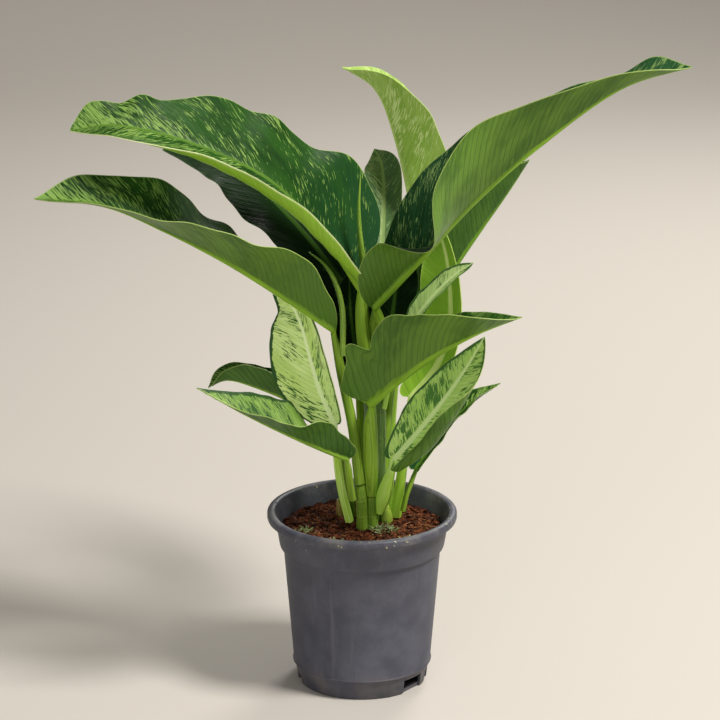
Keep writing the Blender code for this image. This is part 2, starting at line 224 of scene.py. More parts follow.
def pot_plastic():
    """Dark grey satin plastic, faintly mottled and scuffed, with dust and lime specks by the rim."""
    material, tree, shader = new_material("grey pot plastic", 0.5, 0.35)
    place = tree.nodes.new("ShaderNodeTexCoord").outputs["Object"]
    height = parts_of(tree, place)[2]
    mottle = cloud(tree, place, 55, 4, 0.6)
    drips = cloud(tree, stretched(tree, place, (190, 190, 9)), 1, 3)
    specks = cloud(tree, place, 420, 2, 0.6)
    where = cloud(tree, place, 38, 1)
    colour = mixed(tree, step(tree, mottle, 0.35, 0.7), rgb(72, 73, 84), rgb(86, 87, 98))
    scuff = product(tree, step(tree, drips, 0.58, 0.76), 0.35)
    colour = mixed(tree, scuff, colour, rgb(124, 122, 128))
    dust = product(tree, step(tree, mottle, 0.45, 0.65), step(tree, height, 0.100, 0.1125), 0.28)
    colour = mixed(tree, dust, colour, rgb(142, 136, 124))
    low_dirt = product(tree, step(tree, mottle, 0.4, 0.6), step(tree, height, 0.02, 0.008), 0.35)
    colour = mixed(tree, low_dirt, colour, rgb(112, 104, 96))
    lime = product(tree, step(tree, specks, 0.66, 0.7), step(tree, where, 0.5, 0.6))
    lime = product(tree, lime, step(tree, height, 0.092, 0.110))
    colour = mixed(tree, lime, colour, rgb(176, 176, 132))
    feed(tree, shader.inputs["Base Color"], colour)
    rough = maths(tree, "MULTIPLY_ADD", mottle, 0.25, 0.36)
    feed(tree, shader.inputs["Roughness"], maths(tree, "ADD", scuff, rough))
    bumped(tree, shader, maths(tree, "MULTIPLY_ADD", specks, 0.25, mottle), 0.15, 0.0008)
    return material


cutter_mesh = bpy.data.meshes.new("drainage")
cutter_form = drainage()
cutter_form.to_mesh(cutter_mesh)
cutter_form.free()
cutter = bpy.data.objects.new("drainage", cutter_mesh)
bpy.context.scene.collection.objects.link(cutter)
pot = piece_of("nursery_pot", spun(pot_profile(), 144), [pot_plastic()], "pot")
cut = pot.modifiers.new("drainage", "BOOLEAN")
cut.operation = "DIFFERENCE"
cut.object = cutter
cut_mesh = bpy.data.meshes.new_from_object(pot.evaluated_get(bpy.context.evaluated_depsgraph_get()))
pot.modifiers.clear()
pot.data = cut_mesh
pot.data.set_sharp_from_angle(angle=SHARP_EDGE)
bpy.data.objects.remove(cutter)


# ---------------------------------------------------------------- soil
# Damp peat and coir, poured in and watered down: a crumbly, uneven top a little below the rim.
# A grid drawn into a disc and carried down inside the pot, strewn with crumbs, chips and fibres.
SOIL_TOP = 101.0
SOIL_RADIUS = 50.2
SOIL_TUCK = 0.6  # how far the bed's edge goes into the pot's wall
SOIL_SKIRT = 88.0  # height that the bed's edge is carried down to
chance = random.Random(7)


def soil_height(x, y):
    """Height of the soil's top in millimetres: shallow humps, clods and grit."""
    humps = noise.noise(Vector((x, y, 0)) / 22)
    clods = noise.noise(Vector((x, y, 40)) / 6)
    grit = noise.noise(Vector((x, y, 80)) / 1.9)
    return SOIL_TOP + 0.2 + 1.4 * humps + 2.0 * clods + 0.9 * grit


def soil_bed():
    """A square grid drawn into a disc, given its humps, and closed below by a skirt and a floor."""
    form = bmesh.new()
    bmesh.ops.create_grid(form, x_segments=170, y_segments=170, size=1)
    for vert in form.verts:
        x = vert.co.x * math.sqrt(1 - vert.co.y**2 / 2) * (SOIL_RADIUS + SOIL_TUCK)
        y = vert.co.y * math.sqrt(1 - vert.co.x**2 / 2) * (SOIL_RADIUS + SOIL_TUCK)
        vert.co = Vector((x, y, soil_height(x, y))) * MM
    wall = bmesh.ops.extrude_edge_only(form, edges=[edge for edge in form.edges if edge.is_boundary])
    for vert in wall["geom"]:
        if isinstance(vert, bmesh.types.BMVert):
            vert.co = Vector((vert.co.x * 0.93, vert.co.y * 0.93, SOIL_SKIRT * MM))
    bmesh.ops.holes_fill(form, edges=[edge for edge in form.edges if edge.is_boundary], sides=0)
    bmesh.ops.recalc_face_normals(form, faces=form.faces)
    return form


def spot_on_soil(reach=SOIL_RADIUS - 1.5):
    """A chance spot on the soil's top, in millimetres, no farther than reach from the middle."""
    turn = chance.uniform(0, 2 * math.pi)
    radius = reach * math.sqrt(chance.random())
    x, y = radius * math.cos(turn), radius * math.sin(turn)
    return Vector((x, y, soil_height(x, y)))


def scattered(count, smallest, largest, flatness):
    """Chips and crumbs lying in the soil's top, each a few jittered faces turned any way."""
    form = bmesh.new()
    for _ in range(count):
        size = chance.uniform(smallest, largest)
        spot = (spot_on_soil() + Vector((0, 0, 0.25 * size))) * MM
        turn = Euler((chance.uniform(-0.7, 0.7), chance.uniform(-0.7, 0.7), chance.uniform(0, 6.3)))
        stretch = Vector((size * chance.uniform(1, 1.9), size, size * flatness))
        place = Matrix.LocRotScale(spot, turn, stretch)
        crumb = bmesh.ops.create_icosphere(form, subdivisions=1, radius=0.5 * MM, matrix=place)
        for vert in crumb["verts"]:
            vert.co = spot + (vert.co - spot) * chance.uniform(0.72, 1.2)
    return form


def strand(form, points, thickness, sides=3):
    """A thin closed tube through points in millimetres, drawn to a point at both ends."""
    rows = [points[0], *points, points[-1]]
    last = len(rows) - 1
    for vert in bmesh.ops.create_grid(form, x_segments=sides, y_segments=last, size=1)["verts"]:
        ring = round((vert.co.y + 1) / 2 * last)
        turn = (vert.co.x + 1) * math.pi
        ahead = rows[min(ring + 1, last)] - rows[max(ring - 1, 0)]
        radius = 0 if ring in (0, last) else thickness / 2
        outward = ahead.to_track_quat("Z", "X") @ Vector((math.cos(turn), math.sin(turn), 0))
        vert.co = (rows[ring] + outward * radius) * MM


def closed_up(form):
    """Merges the seams and ends of a form made of strands, and turns its faces outward."""
    bmesh.ops.remove_doubles(form, verts=form.verts, dist=0.000001)
    bmesh.ops.recalc_face_normals(form, faces=form.faces)
    return form


def lying_fibre(form, length, thickness):
    """One coir fibre lying bent on the soil."""
    start = spot_on_soil(SOIL_RADIUS - 5)
    heading = chance.uniform(0, 2 * math.pi)
    bow = chance.uniform(-0.2, 0.2) * length
    ahead = Vector((math.cos(heading), math.sin(heading), 0))
    side = Vector((-ahead.y, ahead.x, 0))
    points = []
    for k in range(7):
        share = k / 6
        spot = start + ahead * length * (share - 0.5) + side * bow * math.sin(math.pi * share)
        lift = 0.7 + 0.6 * math.sin(5 * share)
        points.append(Vector((spot.x, spot.y, max(soil_height(spot.x, spot.y), start.z) + lift)))
    strand(form, points, thickness)


def crumbly(name, dark, light, pale):
    """Rough organic matter: lumps in two browns with pale grains."""
    material, tree, shader = new_material(name, 0.92, 0.15)
    place = tree.nodes.new("ShaderNodeTexCoord").outputs["Object"]
    lumps = cloud(tree, place, 260, 4, 0.65)
    grains = cloud(tree, place, 1100, 2, 0.6)
    colour = mixed(tree, step(tree, lumps, 0.36, 0.66), rgb(*dark), rgb(*light))
    colour = mixed(tree, step(tree, grains, 0.62, 0.7), colour, rgb(*pale))
    feed(tree, shader.inputs["Base Color"], colour)
    feed(tree, shader.inputs["Roughness"], maths(tree, "MULTIPLY_ADD", grains, 0.3, 0.7))
    bumped(tree, shader, maths(tree, "ADD", lumps, grains), 0.5, 0.001)
    return material


peat = crumbly("peat", (30, 16, 11), (86, 44, 26), (116, 74, 48))
coir = crumbly("coir crumbs", (66, 32, 18), (122, 64, 36), (172, 124, 84))
husk = crumbly("coir fibres", (112, 70, 40), (158, 108, 66), (186, 146, 100))
piece_of("soil_bed", soil_bed(), [peat], "soil")
piece_of("soil_crumbs", scattered(1500, 0.8, 3.0, 0.75), [coir], "soil", smooth=False)
piece_of("soil_chips", scattered(260, 2.2, 4.8, 0.35), [peat], "soil", smooth=False)
piece_of("pale_soil_bits", scattered(110, 0.8, 2.4, 0.5), [husk], "soil", smooth=False)
fibres = bmesh.new()
for _ in range(190):
    lying_fibre(fibres, chance.uniform(4, 14), chance.uniform(0.25, 0.55))
piece_of("soil_fibres", closed_up(fibres), [husk], "soil")


# ---------------------------------------------------------------- moss and twig
# Tufts of pale moss by the stems and a twig lying across the soil: loose things resting on the top.
# Each sprig is a bent strand, bunched by chance; the twig is one thicker strand.
MOSS_TUFTS = (  # each one's middle, x and y, its spread and how many sprigs it has
    (14, -9, 3, 130), (-37, -14, 4, 50), (30, -30, 3, 40), (-20, -34, 4, 40))


def moss_green():
    """Dull moss, speckled with pale tips."""
    material, tree, shader = new_material("moss", 0.85, 0.2)
    place = tree.nodes.new("ShaderNodeTexCoord").outputs["Object"]
    speckle = cloud(tree, place, 500, 2)
    colour = mixed(tree, step(tree, speckle, 0.35, 0.65), rgb(92, 112, 62), rgb(168, 178, 128))
    feed(tree, shader.inputs["Base Color"], colour)
    bumped(tree, shader, speckle, 0.4, 0.0006)
    return material


tuft = bmesh.new()
for middle_x, middle_y, spread, sprigs in MOSS_TUFTS:
    for _ in range(sprigs):
        x, y = middle_x + chance.gauss(0, spread), middle_y + chance.gauss(0, 0.8 * spread)
        root = Vector((x, y, soil_height(x, y) - 0.4))
        lean = Vector((chance.uniform(-1, 1), chance.uniform(-1, 1), chance.uniform(0.4, 1.3)))
        curve = Vector((chance.uniform(-1, 1), chance.uniform(-1, 1), 0))
        strand(tuft, [root + lean * k + curve * 0.3 * k * k for k in range(4)], chance.uniform(0.5, 0.9))
piece_of("moss_tuft", closed_up(tuft), [moss_green()], "soil")
twig = bmesh.new()
twig_line = [Vector((44 + 2.2 * k, -8 - 1.6 * k + 0.4 * math.sin(k), 104.2 + 0.2 * k)) for k in range(-3, 3)]
strand(twig, twig_line, 1.1, sides=8)
piece_of("twig", closed_up(twig), [husk], "soil")


# ---------------------------------------------------------------- upper left leaf
# The largest leaf, leaning far to the left: a fleshy stalk running on as a thick rib under the blade.
# Lofted in one piece: stalk, then two halves folding up from the rib, the near one curled at its edge.
BLADE_HALF_THICKNESS = 0.24
BLADE_ROWS = 110
COLUMNS = 20  # from the rib to one margin
ROUND_BASE = 0.06  # share of the blade over which its base rounds out
CREASE = 1.6  # how soon a half reaches its fold angle, going out from the rib
VEIN_SWEEP = 0.07  # how far the rows bow towards the tip at the margin, as a share of the blade
VEIN_LEAN = 0.9  # how far a side vein runs on towards the tip for each millimetre out
VEIN_RELIEF = 0.25
STALK_RINGS = 26
FAR_FROM_MARGIN = 99  # the measure given to stalks and stems, which have no margin


def through(points, share):
    """A smooth curve through evenly spaced points, read at each share of its length."""
    knots = np.asarray(points, float)
    if knots.ndim == 1:
        knots = knots[:, None]
    share = np.asarray(share, float)
    flat = share.ravel()
    spans = len(knots) - 1
    reach = np.clip(flat, 0, 1) * spans
    i = np.minimum(reach.astype(int), spans - 1)
    f = (reach - i)[:, None]
    ends = np.vstack([2 * knots[0] - knots[1], knots, 2 * knots[-1] - knots[-2]])
    a, b, c, d = ends[i], ends[i + 1], ends[i + 2], ends[i + 3]
    curve = b + 0.5 * ((c - a) * f + (2 * a - 5 * b + 4 * c - d) * f**2)
    curve = curve + 0.5 * (3 * b - a - 3 * c + d) * f**3
    curve = curve + np.minimum(flat, 0)[:, None] * 0.5 * (ends[2] - ends[0]) * spans
    return curve.reshape(share.shape if knots.shape[1] == 1 else (*share.shape, -1))


def unit(vectors):
    """The same directions, each of length 1."""
    return vectors / np.linalg.norm(vectors, axis=-1, keepdims=True)


def blade_frame(rib, face, along):
    """Rib point, direction to the left margin and direction of the upper side, at each share along."""
    ahead = unit(through(rib, along + 0.01) - through(rib, along - 0.01))
    base, tip = (np.asarray(way, float) for way in face)
    upper = base + (tip - base) * np.clip(along, 0, 1)[..., None]
    left = unit(np.cross(upper, ahead))
    return through(rib, along), left, np.cross(ahead, left)


def half_blade(rib, face, half, turn, rows, rib_radius, side_veins):
    """One half of a blade, rows by columns: upper and under points, and each point's measures.

    A half has its width, and its fold and curl in degrees, at even steps from base to tip; its lobe back
    past the stalk; its ripple's waves, swing and start; and any rise of its margin. Turn is 1 for the left
    half and -1 for the right.
    """
    length = np.linalg.norm(np.diff(through(rib, np.linspace(0, 1, 60)), axis=0), axis=1).sum()
    t = rows[:, None]
    u = np.linspace(0, 1, COLUMNS + 1)[None, :] ** 1.5
    opening = np.sqrt(1 - (1 - np.clip(t / ROUND_BASE, 0, 1)) ** 2)
    widest = max(half["width"])
    half_width = rib_radius[0] + (np.maximum(through(half["width"], t), 0.3) - rib_radius[0]) * opening
    half_width = np.maximum(half_width, 0.3)
    margin = t - half.get("lobe", 0.05) * (1 - t) ** 3 * opening + VEIN_SWEEP * np.sin(math.pi * t) * t
    along = t + (margin - t) * u**1.5
    out = half_width * u
    inside = np.clip(along, 0, 1)
    fold = np.radians(through(half["fold"], inside)) * (1 - np.exp(-out / CREASE))
    angle = fold + np.radians(through(half.get("curl", (0, 0)), inside)) * (out / half_width) ** 3
    reach = np.diff(out, axis=1)
    mean = (angle[:, 1:] + angle[:, :-1]) / 2
    level = np.pad(np.cumsum(np.cos(mean) * reach, axis=1), ((0, 0), (1, 0)))
    rise = np.pad(np.cumsum(np.sin(mean) * reach, axis=1), ((0, 0), (1, 0)))
    waves, swing, start = half["ripple"]
    ripple = np.sin(2 * math.pi * (waves * along + start))
    ripple = ripple + 0.35 * np.sin(2 * math.pi * (2.4 * waves * along + 1.7 * start))
    rise = rise + swing * ripple * (out / widest) ** 2
    rise = rise + through(half.get("edge_rise", (0, 0)), inside) * u**2
    vein = t * length - VEIN_LEAN * out
    rise = rise + VEIN_RELIEF * np.sin(2 * math.pi * side_veins * vein / length) * np.sin(math.pi * u)
    middle, left, upper = blade_frame(rib, face, along)
    centre = middle + (turn * level)[..., None] * left + rise[..., None] * upper
    normal = -np.sin(angle)[..., None] * turn * left + np.cos(angle)[..., None] * upper
    keel = rib_radius[:, None]
    depth = keel * np.sqrt(np.clip(1 - (out / (keel + 0.1)) ** 2, 0, 1))
    over = centre + BLADE_HALF_THICKNESS * normal
    under = centre - (BLADE_HALF_THICKNESS + depth)[..., None] * normal
    on_rib = np.clip((keel + 0.5 - out) / 0.5, 0, 1)
    measures = np.stack([vein, turn * out, half_width * (1 - u), on_rib, t + 0 * u], axis=-1)
    return over, under, measures


def leaf_form(seed, stalk, stalk_radius, rib, face, left, right, side_veins=16):
    """The closed loft of one leaf: the stalk's rings, then the blade's.

    Stalk and rib are routes in millimetres, and face is the way the upper side looks at base and at tip.
    """
    blade_rows = np.linspace(0, 1, BLADE_ROWS) ** 1.3
    stalk_rows = np.linspace(0, 0.97, STALK_RINGS)
    rib_radius = stalk_radius[-1] * np.maximum(1 - blade_rows, 0.02) ** 0.8
    halves = [
        half_blade(rib, face, half, turn, blade_rows, rib_radius, side_veins)
        for half, turn in ((left, 1), (right, -1))
    ]
    (over_l, under_l, about_l), (over_r, under_r, about_r) = halves
    points = np.concatenate([over_l[:, ::-1], over_r[:, 1:], under_r[:, ::-1], under_l[:, 1:]], axis=1)
    about = np.concatenate([about_l[:, ::-1], about_r[:, 1:], about_r[:, ::-1], about_l[:, 1:]], axis=1)

    centre = through(stalk, stalk_rows)
    ahead = unit(through(stalk, stalk_rows + 0.02) - through(stalk, stalk_rows - 0.02))
    sideways = blade_frame(rib, face, np.array([0.0]))[1]
    sideways = unit(sideways - ahead * (ahead * sideways).sum(axis=1, keepdims=True))
    upward = np.cross(ahead, sideways)
    radius = through(stalk_radius, stalk_rows)[:, None]
    flatness = np.clip((stalk_rows[:, None] - 0.6) / 0.4, 0, 1) ** 2
    to_side = np.linspace(1, 0, COLUMNS + 1)
    from_side = np.linspace(0, 1, COLUMNS + 1)
    across = np.radians(84) * np.concatenate([to_side, -from_side[1:]])
    upper_half = radius * (1 - 0.85 * flatness) * np.cos(across)
    ring = centre[:, None] + (radius * np.sin(across))[..., None] * sideways[:, None]
    top = ring + upper_half[..., None] * upward[:, None]
    bottom = (ring - (radius * np.cos(across))[..., None] * upward[:, None])[:, ::-1]
    stalk_length = np.linalg.norm(np.diff(centre, axis=0), axis=1).sum()
    down = -stalk_length * (1 - stalk_rows[:, None]) + 0 * across
    no_margin = FAR_FROM_MARGIN + 0 * down
    stalk_about = np.stack([down, radius * across, no_margin, 1 + 0 * down, 0 * down], axis=-1)
    points = np.concatenate([np.concatenate([top, bottom], axis=1), points])
    about = np.concatenate([np.concatenate([stalk_about, stalk_about[:, ::-1]], axis=1), about])
    return wrapped(points, about, seed)


def wrapped(points, about, seed):
    """A flat grid rolled into a closed tube through rings of points, capped below and drawn to a point.

    The measures about each point go with it, so that a skin's pattern follows the veins and the margin.
    """
    count, around = points.shape[:2]
    form = bmesh.new()
    form.loops.layers.uv.new("UVMap")
    bmesh.ops.create_grid(form, x_segments=around, y_segments=count - 1, size=1, calc_uvs=True)
    place = form.verts.layers.float_vector.new("leaf_place")
    edge = form.verts.layers.float_vector.new("leaf_edge")
    for face in form.faces:
        face.material_index = int(face.calc_center_median().x * around / 2 > -1)
    tip = []
    for vert in form.verts:
        ring = round((vert.co.y + 1) / 2 * (count - 1))
        i = round((vert.co.x + 1) / 2 * around) % around
        vert.co = Vector(points[ring, i]) * MM
        vert[place] = Vector((about[ring, i, 0], about[ring, i, 1], seed))
        vert[edge] = Vector(about[ring, i, 2:5])
        if ring == count - 1:
            tip.append(vert)
    bmesh.ops.pointmerge(form, verts=tip, merge_co=Vector(points[-1].mean(axis=0)) * MM)
    bmesh.ops.remove_doubles(form, verts=form.verts, dist=0.000002)
    bmesh.ops.holes_fill(form, edges=[edge for edge in form.edges if edge.is_boundary], sides=0)
    bmesh.ops.recalc_face_normals(form, faces=form.faces)
    return form


def leaf_pattern():
    """Leaf colouring along the side veins: tones, veins, streaks, a ragged border, the rib and the rim."""
    colours = ("Field", "Shade", "Base", "Vein", "Streak", "Border", "Rib", "Rim", "Stalk")
    values = (
        "Vein Share", "Vein Gap", "Streak From", "Rib Gain", "Tip Gain", "Patchiness", "Border Width",
        "Rim Width",
    )
    takes = {"Place": "Vector", "Edge": "Vector"}
    takes |= dict.fromkeys(colours, "Color") | dict.fromkeys(values, "Float")
    tree = bpy.data.node_groups.new("leaf pattern", "ShaderNodeTree")
    for name, kind in takes.items():
        tree.interface.new_socket(name, in_out="INPUT", socket_type="NodeSocket" + kind)
    for name, kind in {"Colour": "Color", "Roughness": "Float", "Height": "Float"}.items():
        tree.interface.new_socket(name, in_out="OUTPUT", socket_type="NodeSocket" + kind)
    take = tree.nodes.new("NodeGroupInput").outputs
    result = tree.nodes.new("NodeGroupOutput").inputs
    to_edge, on_rib, along = parts_of(tree, take["Edge"])
    along_mm, across_mm, _ = parts_of(tree, take["Place"])
    from_rib = maths(tree, "ABSOLUTE", across_mm)
    fine = cloud(tree, stretched(tree, take["Place"], (0.9, 0.045, 1)), 1, 3)
    tone = cloud(tree, stretched(tree, take["Place"], (0.03, 0.05, 1)), 1)
    spot = cloud(tree, stretched(tree, take["Place"], (0.95, 0.19, 1)), 1, 2, 0.65)
    patch = cloud(tree, stretched(tree, take["Place"], (0.06, 0.07, 1)), 1)
    blister = cloud(tree, stretched(tree, take["Place"], (0.26, 0.16, 1)), 1, 1)
    ragged = cloud(tree, stretched(tree, take["Place"], (0.22, 0.12, 1)), 1)
    along_rib = cloud(tree, stretched(tree, take["Place"], (0.03, 1.2, 1)), 1, 2)

    colour = mixed(tree, step(tree, tone, 0.38, 0.62), take["Field"], take["Shade"])
    # Blister patches take the Shade colour; on the undersides, where Shade is the paler green, they are in
    # part painted soft reflections.
    colour = mixed(tree, product(tree, step(tree, blister, 0.46, 0.68), 0.6), colour, take["Shade"])
    by_stalk = step(tree, maths(tree, "MULTIPLY_ADD", tone, 0.3, along), 0.55, 0.2)
    colour = mixed(tree, by_stalk, colour, take["Base"])
    bent = maths(tree, "MULTIPLY_ADD", patch, 0.5, maths(tree, "DIVIDE", along_mm, take["Vein Gap"]))
    main_vein = step(tree, maths(tree, "SINE", maths(tree, "MULTIPLY", bent, 2 * math.pi)), 0.55, 1.0)
    thin_vein = product(tree, step(tree, fine, 0.5, 0.66), 0.6)
    hidden = maths(tree, "MAXIMUM", main_vein, thin_vein)
    vein_mask = product(tree, hidden, take["Vein Share"])
    colour = mixed(tree, vein_mask, colour, take["Vein"])
    near_rib = maths(tree, "EXPONENT", maths(tree, "MULTIPLY", from_rib, -0.13))
    gain = maths(tree, "MULTIPLY_ADD", near_rib, take["Rib Gain"], spot)
    gain = maths(tree, "MULTIPLY_ADD", step(tree, along, 0.3, 0.95), take["Tip Gain"], gain)
    gain = maths(tree, "MULTIPLY_ADD", maths(tree, "SUBTRACT", patch, 0.5), take["Patchiness"], gain)
    streak_mask = step(tree, maths(tree, "SUBTRACT", gain, take["Streak From"]), 0, 0.035)
    colour = mixed(tree, streak_mask, colour, take["Streak"])
    reach = maths(tree, "MULTIPLY", take["Border Width"], maths(tree, "MULTIPLY", ragged, 2))
    border_mask = step(tree, maths(tree, "SUBTRACT", reach, to_edge), -0.25, 0.25)
    colour = mixed(tree, border_mask, colour, take["Border"])
    colour = mixed(tree, step(tree, to_edge, take["Rim Width"], 0.1), colour, take["Rim"])
    rib_dark = mixed(tree, 0.35, take["Rib"], take["Field"])
    rib_colour = mixed(tree, step(tree, along_rib, 0.42, 0.66), take["Rib"], rib_dark)
    stalk_streaks = product(tree, step(tree, along_rib, 0.45, 0.6), 0.5)
    stalk_colour = mixed(tree, stalk_streaks, take["Stalk"], take["Field"])
    rib_colour = mixed(tree, step(tree, along_mm, 2, -12), rib_colour, stalk_colour)
    colour = mixed(tree, on_rib, colour, rib_colour)

    feed(tree, result["Colour"], colour)
    rough = maths(tree, "MULTIPLY_ADD", tone, 0.22, 0.34)
    feed(tree, result["Roughness"], maths(tree, "MULTIPLY_ADD", streak_mask, 0.06, rough))
    low = maths(tree, "MULTIPLY_ADD", fine, 0.35, maths(tree, "MULTIPLY_ADD", hidden, -0.6, blister))
    feed(tree, result["Height"], product(tree, maths(tree, "SUBTRACT", 1, on_rib), low))
    return tree


LEAF_PATTERN = leaf_pattern()
STALK_GREEN = (150, 188, 60)


def leaf_skin(name, field, shade, vein, rib, rim, base=None, vein_share=0.4, vein_gap=4.5, streak=None,
              streak_from=2.0, rib_gain=0.0, tip_gain=0.0, patchiness=1.0, border=None, border_width=-2.0,
              rim_width=0.5, gloss=0.28, painted_glow=0.0):
    """One side of a leaf: satin tissue with its own colours, streaks and border, and a painted glow standing
    in for light shining through.

    Widths and gaps are in millimetres; the streak and border settings left out give none of either.
    """
    material, tree, shader = new_material(name, 0.42, gloss)
    pattern = tree.nodes.new("ShaderNodeGroup")
    pattern.node_tree = LEAF_PATTERN
    for socket, attribute in (("Place", "leaf_place"), ("Edge", "leaf_edge")):
        read = tree.nodes.new("ShaderNodeAttribute")
        read.attribute_name = attribute
        feed(tree, pattern.inputs[socket], read.outputs["Vector"])
    colours = {
        "Field": field, "Shade": shade, "Base": base or field, "Vein": vein, "Streak": streak or field,
        "Border": border or field, "Rib": rib, "Rim": rim, "Stalk": STALK_GREEN,
    }
    values = {
        "Vein Share": vein_share, "Vein Gap": vein_gap, "Streak From": streak_from, "Rib Gain": rib_gain,
        "Tip Gain": tip_gain, "Patchiness": patchiness, "Border Width": border_width, "Rim Width": rim_width,
    }
    for socket, colour in colours.items():
        pattern.inputs[socket].default_value = rgb(*colour)
    for socket, value in values.items():
        pattern.inputs[socket].default_value = value
    feed(tree, shader.inputs["Base Color"], pattern.outputs["Colour"])
    # Painted light: the leaf's colour also feeds the emission, so a leaf given a glow shines as if lit
    # through from behind.
    feed(tree, shader.inputs["Emission Color"], pattern.outputs["Colour"])
    shader.inputs["Emission Strength"].default_value = painted_glow
    feed(tree, shader.inputs["Roughness"], pattern.outputs["Roughness"])
    bumped(tree, shader, pattern.outputs["Height"], 0.5, 0.0006)
    return material


def grow(name, node, slot, skins, seed, **shape):
    """One leaf: its loft, skinned above and below, in the place of its CAD node.

    The seed shifts its pattern, so that no two leaves have the same streaks.
    """
    return piece_of(name, leaf_form(seed, **shape), skins, node)


# Its bluish base colour, laid on towards the stalk, is a painted sheen on the upper side.
speckled = leaf_skin(
    "speckled leaf, upper side",
    (22, 58, 12), (38, 82, 20), (46, 94, 28), (92, 132, 46), (150, 176, 104),
    base=(36, 78, 44), vein_share=0.2, streak=(128, 162, 78), streak_from=0.635, rib_gain=0.07,
    tip_gain=0.11, patchiness=0.5, gloss=0.14)
# Brighter than the other undersides and given a glow: painted light on the curled band of the near half.
sunny_under = leaf_skin(
    "sunlit leaf, under side",
    (140, 182, 48), (126, 170, 42), (110, 152, 36), (150, 190, 60), (212, 226, 160),
    vein_share=0.15, streak=(176, 200, 90), streak_from=0.8, patchiness=0.4, rim_width=1.4, painted_glow=0.12)
grow("upper_left_leaf", "leaf_upper_left", "leaf_dark", [speckled, sunny_under], 3.0,
     stalk=[(3, 1.5, 214), (1, 0, 230), (0, -2, 246), (0, -4, 259)], stalk_radius=(5, 4.8, 4.2, 2.8),
     rib=[(0, -4, 259), (-21, -12, 293), (-55, -24, 333), (-100, -36, 359), (-144, -46, 373),
          (-174, -50, 371)],
     face=((0.6, 0.1, 0.8), (0.1, -0.25, 0.9)),
     left=dict(width=(18, 26, 34, 37, 37, 33, 28, 21, 14, 8, 0), fold=(0, -14, -16, -12, -8, 0),
               curl=(60, 100, 110, 90, 30, 0), lobe=-0.05, ripple=(3.2, 1, 0.35)),
     right=dict(width=(24, 40, 45, 45, 42, 36, 29, 22, 17, 12, 2), fold=(64, 62, 57, 52, 48, 40), lobe=-0.05,
                ripple=(3.2, 1, 0.1),
                edge_rise=(0, 0, 0, 1, 3, 4, 2, -9, -9, -3, -4, 0, 1, -3, -4, 1, -4, 0, 3, 2, 0)))


# ---------------------------------------------------------------- mid left leaf
# A long leaf reaching left below the first: its near half folds up and shows a green, ribbed underside.
# One loft; the underside carries dark side veins with blisters between them and a few flecks, its paler
# patches in part painted soft reflections.
green_under = leaf_skin(
    "green leaf, under side", (74, 112, 30), (102, 140, 46), (46, 82, 22), (142, 188, 44), (158, 182, 96),
    base=(90, 130, 42), vein_share=0.34, streak=(186, 206, 90), streak_from=0.79, patchiness=0.3)
grow("mid_left_leaf", "leaf_mid_left", "leaf_dark", [speckled, green_under], 41.0,
     stalk=[(-1.5, -8, 133.4), (-6, -9.5, 172), (-13, -11, 208), (-17, -18, 238)], stalk_radius=(3.4, 2.8),
     rib=[(-17, -18, 238), (-50, -26, 263), (-83, -36, 287), (-119, -46, 309), (-154, -54, 326),
          (-196, -60, 332)],
     face=((0.5, 0, 0.85), (0.2, 0, 1)),
     left=dict(width=(20, 34, 36, 31, 19, 0), fold=(52, 62, 45, 26, 18, 8), lobe=-0.04, ripple=(3, 2, 0.55)),
     right=dict(width=(14, 38, 40, 31, 19, 0), fold=(0, 0, 10, 42, 48, 30), lobe=-0.06, ripple=(3, 2.5, 0.3),
                edge_rise=(0, 0, 0, 2, 5, 1, 0, 0, 0, 5, 0)))


# ---------------------------------------------------------------- shaded left leaf
# A dark leaf in the shade behind the two long left ones; only its lower edge and tip stand clear.
# The same loft with a nearly flat near half, in a deep green with few streaks.
shaded = leaf_skin(
    "shaded leaf, both sides", (12, 32, 10), (18, 42, 14), (22, 50, 18), (60, 94, 30), (60, 92, 40),
    vein_share=0.2, streak=(84, 114, 50), streak_from=0.7, patchiness=0.3, gloss=0.05)
grow("shaded_left_leaf", "leaf_shaded_left", "leaf_dark", [shaded, shaded], 79.0,
     stalk=[(1, 15, 101.4), (0, 15, 150), (-3, 17, 205), (-8, 18, 250)], stalk_radius=(3.0, 2.2),
     rib=[(-8, 18, 250), (-33, 28, 282), (-63, 36, 312), (-92, 42, 330), (-125, 44, 336)],
     face=((0.4, -0.3, 0.8), (0.1, -0.3, 1)),
     left=dict(width=(24, 31, 31, 22, 0), fold=(0, 0, 0, 5, 10), lobe=0.1, ripple=(3, 2, 0.25)),
     right=dict(width=(20, 30, 31, 22, 0), fold=(40, 35, 30, 25, 20), ripple=(3, 2, 0)))


# ---------------------------------------------------------------- tall back leaf
# The newest large leaf, standing at the back with light coming through it; that light is painted in as its
# bright yellow-green and a glow.
# One loft whose left half stands on edge; long pale streaks follow the veins, with white spots.
backlit = leaf_skin(
    "sunlit leaf", (146, 178, 78), (126, 162, 58), (162, 190, 100), (178, 204, 110), (172, 198, 104),
    vein_share=0.35, streak=(186, 206, 128), streak_from=0.56, patchiness=0.6, painted_glow=0.22)
grow("tall_back_leaf", "leaf_tall_back", "leaf_bright", [backlit, backlit], 117.0,
     stalk=[(17, 25, 101.6), (18, 33, 145), (21, 43, 185), (27, 54, 215)], stalk_radius=(3.4, 2.4),
     rib=[(27, 54, 215), (33, 76, 248), (32, 88, 285), (22, 94, 330), (9, 96, 362), (-13, 96, 377)],
     face=((1, 0.1, 0), (0.5, -0.1, 0.9)),
     left=dict(width=(16, 30, 34, 30, 17, 0), fold=(78, 78, 76, 70, 60, 50), ripple=(3, 1.5, 0.25)),
     right=dict(width=(16, 30, 34, 30, 16, 0), fold=(35, 35), ripple=(3, 2, 0)))
